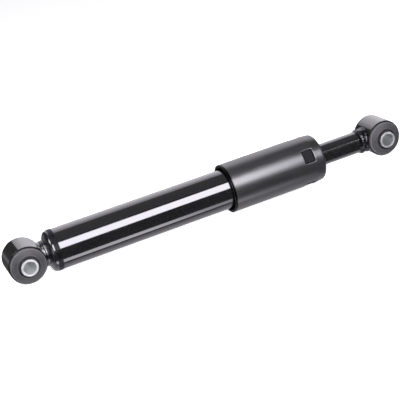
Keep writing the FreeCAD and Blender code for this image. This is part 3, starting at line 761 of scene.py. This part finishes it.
def zinc_plate(name, dark, light):
    """Zinc on a sleeve: fairly smooth wall and bore, coarsely turned ends, painted shade on its outer
    rounding.
    """
    material, shader, place = start_finish(name)
    coordinate = split(place)
    radius = eye_radius(place)
    outward = calculate("ABSOLUTE", coordinate["Y"])
    end = beyond(outward, sleeve_half_length - end_depth, soft=0.0002)
    # Painted shade: the outer rounding of each end is darkened, by up to 0.45 of the tone, where it
    # turns into the rubber's groove.
    rounding_shade = beyond(radius, sleeve_radius - rounding_width, soft=0.0003, most=0.45)
    cloud = vary(grain(place, size=0.004, detail=4.0), 0.0, 1.0)
    cloudy = spread(cloud, low=0.0, high=1.0, at_low=0.7, at_high=1.0)
    tone = minus(minus(cloudy, times(end, 0.10)), rounding_shade)
    put(shader, Base_Color=tint(tone, dark, light))
    bore = spread(
        coordinate["X"], low=0.1, high=0.2, at_low=lower_bore_metal, at_high=upper_bore_metal)
    past_bore = beyond(radius, bore_edge, soft=0.0001)
    put(shader, Metallic=calculate("MAXIMUM", bore, past_bore))
    turned = spread(end, low=0.0, high=1.0, at_low=0.40, at_high=0.62)
    uneven = spread(cloud, low=0.0, high=1.0, at_low=-0.04, at_high=0.04)
    put(shader, Roughness=plus(turned, uneven))
    put(shader, Normal=bumps(times(rings(radius, pitch=0.0006), end), depth=0.00003))
    return material


finishes["zinc_steel"] = zinc_plate(
    "zinc_plated_sleeve", dark=(0.23, 0.24, 0.235), light=(0.71, 0.72, 0.71))
print("A sleeve is", round(2 * sleeve_half_length, 4), "metres long")

# %% [markdown]
# ## Metals inside
#
# Inside the damper are turned steel, a chromed rod and a bronze bush. They show only when the
# damper is opened up, and a plain grey would do from afar. But close up a turned face has the
# rings of the lathe and small scratches, so these metals have both. The rod is ground, so its
# rings are the shallowest.

# %% Turned metals
lathe_pitch = 0.0004


def turned_metal(name, dark, light, roughness, depth):
    """Metal with lathe rings, a cloudy tone and small scratches."""
    material, shader, place = start_finish(name, Metallic=1.0)
    cloud = grain(place, size=0.006, detail=4.0)
    scratches = grain(place, size=0.0006, stretch=(12, 1, 1))
    ridges = rings(axis_radius(place), lathe_pitch)
    put(shader, Base_Color=tint(vary(cloud, 0.0, 1.0), dark, light))
    cloudy = vary(cloud, roughness - 0.05, roughness + 0.05)
    put(shader, Roughness=plus(cloudy, vary(scratches, -0.03, 0.03)))
    put(shader, Normal=bumps(scratches, depth=depth / 3, under=bumps(ridges, depth=depth)))
    return material


finishes["rod_chrome"] = turned_metal(
    "chromed_rod", dark=(0.62, 0.63, 0.65), light=(0.70, 0.71, 0.73), roughness=0.12, depth=0.000002)
finishes["bare_steel"] = turned_metal(
    "turned_steel", dark=(0.36, 0.36, 0.37), light=(0.48, 0.48, 0.49), roughness=0.34, depth=0.000006)
finishes["guide_bronze"] = turned_metal(
    "bronze_bush", dark=(0.45, 0.29, 0.13), light=(0.58, 0.39, 0.19), roughness=0.32, depth=0.000006)
print("A lathe ring is", round(1000 * lathe_pitch, 1), "millimetres wide")

# %% [markdown]
# The piston, the rod guide and the valve body are sintered: iron powder is pressed to shape and
# baked. Pores stay open between the grains, so this metal takes the specks, pressed in rather
# than standing up. Holes in the mesh would be truer, but far too many.

# %% Sintered iron
def sintered_metal(name, dark, light, roughness):
    """Pressed and sintered powder: a dull metal full of pores."""
    material, shader, place = start_finish(name, Metallic=0.9)
    pores = specks(place, spacing=0.0009, radius=0.00022)
    powder = grain(place, size=0.0004, detail=3.0)
    put(shader, Base_Color=tint(powder, dark, light))
    put(shader, Roughness=vary(powder, roughness - 0.06, roughness + 0.06))
    put(shader, Normal=bumps(pores, depth=-0.00006, under=bumps(powder, depth=0.00003)))
    return material


finishes["sintered_iron"] = sintered_metal(
    "sintered_iron", dark=(0.10, 0.10, 0.105), light=(0.22, 0.22, 0.225), roughness=0.55)
print("There are", len(finishes), "finishes:", ", ".join(finishes))

# %% [markdown]
# ## Weld beads
#
# A weld is laid drop by drop: each drop freezes against the last and leaves a crescent, so a bead
# looks like a row of leaning coins. It could be sculpted, but the same rule fits all the welds
# here, so one Geometry Nodes tree makes them. Its inputs are the sizes that differ from one bead
# to the next.

# %% Name the inputs of a bead
bead_sizes = ("Place", "Side", "Ring Radius", "Path Radius", "Bead Radius", "Bead Stretch",
              "Ripple Height", "Ripple Lean", "Lump Height", "Lump Size", "Seed", "Pass Spacing")
bead_counts = ("Path Points", "Ripples", "Passes")

bead_tree = bpy.data.node_groups.new("weld_bead", "GeometryNodeTree")
for input_names, kind in ((bead_sizes, "Float"), (bead_counts, "Int"), (["Paint"], "Material")):
    for input_name in input_names:
        bead_tree.interface.new_socket(input_name, in_out="INPUT", socket_type="NodeSocket" + kind)
bead_tree.interface.new_socket("Bead", in_out="OUTPUT", socket_type="NodeSocketGeometry")
bead_input = bead_tree.nodes.new("NodeGroupInput").outputs
print("A bead takes", len(bead_sizes) + len(bead_counts), "numbers and a paint")

# %% [markdown]
# The tree starts with the route of the weld. Round a tube that is a plain circle. Where a tube
# meets the round wall of an eye it is a saddle, so each point of the circle slides along the
# damper until it lies on that wall. A curve drawn by hand could do it for one size only.

# %% Bend a circle to the route
def bead_node(kind, **inputs):
    """Add a geometry node to the bead's tree."""
    return put(bead_tree.nodes.new("GeometryNode" + kind), **inputs)


circle = bead_node(
    "CurvePrimitiveCircle", Resolution=bead_input["Path Points"], Radius=bead_input["Path Radius"])
flat = bead_node("InputPosition").outputs[0]
on_circle = split(flat)
ring_squared = calculate("POWER", bead_input["Ring Radius"], 2.0)
reach_squared = minus(ring_squared, times(on_circle["Y"], on_circle["Y"]))
reach = calculate("POWER", calculate("MAXIMUM", reach_squared, 0.0), 0.5)
wall_x = plus(bead_input["Place"], times(bead_input["Side"], reach))
bent = add(flat, "CombineXYZ", X=wall_x, Y=on_circle["X"], Z=on_circle["Y"])
route = bead_node("SetPosition", Geometry=circle.outputs[0], Position=bent.outputs[0])
print("The route takes", len(bead_tree.nodes), "nodes")

# %% [markdown]
# A round section is swept along the route, and a stretch can make the bead wider than it is high.
# The curve is gone after the sweep, so the share of the route that has been travelled is written
# into the points before it, for the ripples to follow.

# %% Sweep the bead
section_points = 20

marked = bead_node("CaptureAttribute", Geometry=route.outputs[0])
marked.capture_items.new("FLOAT", "Travelled")
put(marked, Travelled=bead_node("SplineParameter").outputs["Factor"])
section = bead_node(
    "CurvePrimitiveCircle", Resolution=section_points, Radius=bead_input["Bead Radius"])
swept = bead_node("CurveToMesh", Curve=marked.outputs["Geometry"], Profile_Curve=section.outputs[0])
spot = bead_node("InputPosition").outputs[0]
on_bead = split(spot)
from_middle = minus(on_bead["X"], bead_input["Place"])
wide_x = plus(bead_input["Place"], times(from_middle, bead_input["Bead Stretch"]))
stretched = add(spot, "CombineXYZ", X=wide_x, Y=on_bead["Y"], Z=on_bead["Z"])
print("With the sweep there are", len(bead_tree.nodes), "nodes")

# %% [markdown]
# Each drop could be a coin of its own, but coins would show through each other. The crescents are
# a wave with its lower half turned up instead, which leaves a sharp valley between round scallops.
# They lean, because the middle of a drop runs ahead of its edges. Noise with a fixed seed adds
# lumps, so that no two stretches are alike. Both lift the bead along its normal.

# %% Lift it into scallops and lumps
outwards = minus(length_of(on_bead["Y"], on_bead["Z"]), bead_input["Path Radius"])
lean = times(calculate("DIVIDE", outwards, bead_input["Bead Radius"]), bead_input["Ripple Lean"])
phase = minus(times(marked.outputs["Travelled"], bead_input["Ripples"]), lean)
wave = calculate("SINE", times(phase, math.pi))
scallops = times(calculate("ABSOLUTE", wave), bead_input["Ripple Height"])
lump_noise = add(spot, "TexNoise")
lump_noise.noise_dimensions = "4D"
put(lump_noise, Scale=calculate("DIVIDE", 1.0, bead_input["Lump Size"]), W=bead_input["Seed"])
lumps = times(minus(lump_noise.outputs[0], 0.5), bead_input["Lump Height"])
lift = add(spot, "VectorMath", Vector=bead_node("InputNormal").outputs[0])
lift.operation = "SCALE"
put(lift, Scale=plus(scallops, lumps))
rippled = bead_node(
    "SetPosition", Geometry=swept.outputs[0], Position=stretched.outputs[0], Offset=lift.outputs[0])
smooth = bead_node("SetShadeSmooth", Geometry=rippled.outputs[0])
print("With the ripples there are", len(bead_tree.nodes), "nodes")

# %% [markdown]
# A wide weld is laid in passes, side by side. Each pass is the same bead, turned round the tube
# by some 126 degrees so that its ripples don't line up with the next. The passes are instances,
# so they are made real at the end and then painted.

# %% Lay the passes and paint them
pass_turn = 2.2

index = bead_node("InputIndex").outputs[0]
step = add(index, "CombineXYZ", X=bead_input["Pass Spacing"])
turn = add(index, "CombineXYZ", X=times(index, pass_turn))
line = bead_node("MeshLine", Count=bead_input["Passes"], Offset=step.outputs[0])
passes = bead_node(
    "InstanceOnPoints", Points=line.outputs[0], Instance=smooth.outputs[0], Rotation=turn.outputs[0])
real = bead_node("RealizeInstances", Geometry=passes.outputs[0])
painted = bead_node("SetMaterial", Geometry=real.outputs[0], Material=bead_input["Paint"])
bead_tree.links.new(painted.outputs[0], bead_tree.nodes.new("NodeGroupOutput").inputs[0])
print("The whole tree has", len(bead_tree.nodes), "nodes")

# %% [markdown]
# Each bead is then a short list of sizes, and what it leaves out is as usual. The tree could stay
# on its object as a modifier, but a piece that leaves Blender has to be a plain mesh, so we run
# the tree once and keep what it makes. A bead rides on the body that it is welded to.

# %% Lay the beads of the lower eye
usual_bead = dict(
    Side=0.0, Ring_Radius=0.0, Bead_Stretch=1.0, Ripple_Height=0.00006, Ripple_Lean=0.7,
    Lump_Height=0.0002, Lump_Size=0.006, Seed=4.0, Path_Points=620, Ripples=46, Passes=1,
    Pass_Spacing=0.0, Paint=finishes["weld_paint"])


def lay_bead(name, body, stands_for=(), **sizes):
    """Run the tree once and keep what it makes as a plain mesh that rides on a body."""
    chosen = {**usual_bead, **sizes}
    maker = bpy.data.objects.new(name + "_maker", bpy.data.meshes.new(name + "_maker"))
    scene_objects.link(maker)
    modifier = maker.modifiers.new("bead", "NODES")
    modifier.node_group = bead_tree
    for socket in bead_tree.interface.items_tree:
        if socket.in_out == "INPUT":
            modifier[socket.identifier] = chosen[socket.name.replace(" ", "_")]
    depsgraph = bpy.context.evaluated_depsgraph_get()
    mesh = bpy.data.meshes.new_from_object(maker.evaluated_get(depsgraph))
    bpy.data.objects.remove(maker)
    bead = bpy.data.objects.new(name, mesh)
    scene_objects.link(bead)
    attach(bead, body)
    if stands_for:
        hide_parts(*stands_for)
    print(name, "has", len(mesh.polygons), "faces")


ring_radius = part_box("lower_eye_ring")[1].z
cap_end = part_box("base_cap")[0].x
bead_before_cap = 0.0016
lay_bead("lower_ring_bead", "cylinder", Ring_Radius=ring_radius, Place=0.0, Side=1.0,
         Path_Radius=0.0112, Bead_Radius=0.0014)
lay_bead("lower_cap_bead", "cylinder", Place=cap_end - bead_before_cap, Path_Radius=0.0116,
         Bead_Radius=0.0012, Passes=2, Pass_Spacing=0.0020)

# %% [markdown]
# The weld of the upper eye is rough, with knobs instead of neat scallops. A tree of its own could
# make it, but lumps that are higher and closer together are enough, so the same tree does.

# %% Lay the beads of the upper eye
upper_low, upper_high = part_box("upper_eye_ring")
upper_eye_x = (upper_low.x + upper_high.x) / 2
collar_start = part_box("upper_eye_weld")[0].x
bead_on_collar = 0.0042
knob_height = 0.0016
lay_bead("upper_ring_bead", "rod", Ring_Radius=ring_radius, Place=upper_eye_x, Side=-1.0,
         Path_Radius=0.0113, Bead_Radius=0.0017, Lump_Height=knob_height, Lump_Size=0.0030,
         Paint=knob_enamel)
lay_bead("upper_tube_bead", "rod", Place=collar_start + bead_on_collar, Path_Radius=0.0112,
         Bead_Radius=0.0015, Bead_Stretch=1.3, Lump_Height=knob_height, Lump_Size=0.0034,
         Seed=9.0, Paint=knob_enamel)

# %% [markdown]
# The seam between the cap and the tube is closed by three passes of a thin bead. The CAD has a
# plain bead there. It could be given bumps, but its outline would stay plain, so this bead stands
# for it.

# %% Lay the seam
seam_step = 0.0017
lay_bead("seam_bead", "cylinder", ["base_weld_bead"], Place=foot_x - seam_step, Path_Radius=0.01945,
         Bead_Radius=0.00095, Lump_Height=0.00015, Ripples=84, Path_Points=1000, Passes=3,
         Pass_Spacing=seam_step, Paint=seam_enamel)

# %% [markdown]
# ## Dressing
#
# Each CAD node comes with a slot that is named after its finish, so dressing them is a loop over
# the slots. Dressing them by name, one at a time, would be easy to get wrong. Only the collar of
# the upper weld differs from its slot: it takes the thin paint of the knobs that lie on it.

# %% Dress the CAD nodes
for node in nodes.values():
    for slot in node.material_slots:
        slot.material = finishes[slot.material.name]
nodes["upper_eye_weld"].material_slots[0].material = knob_enamel
print("Dressed", len(nodes), "nodes")
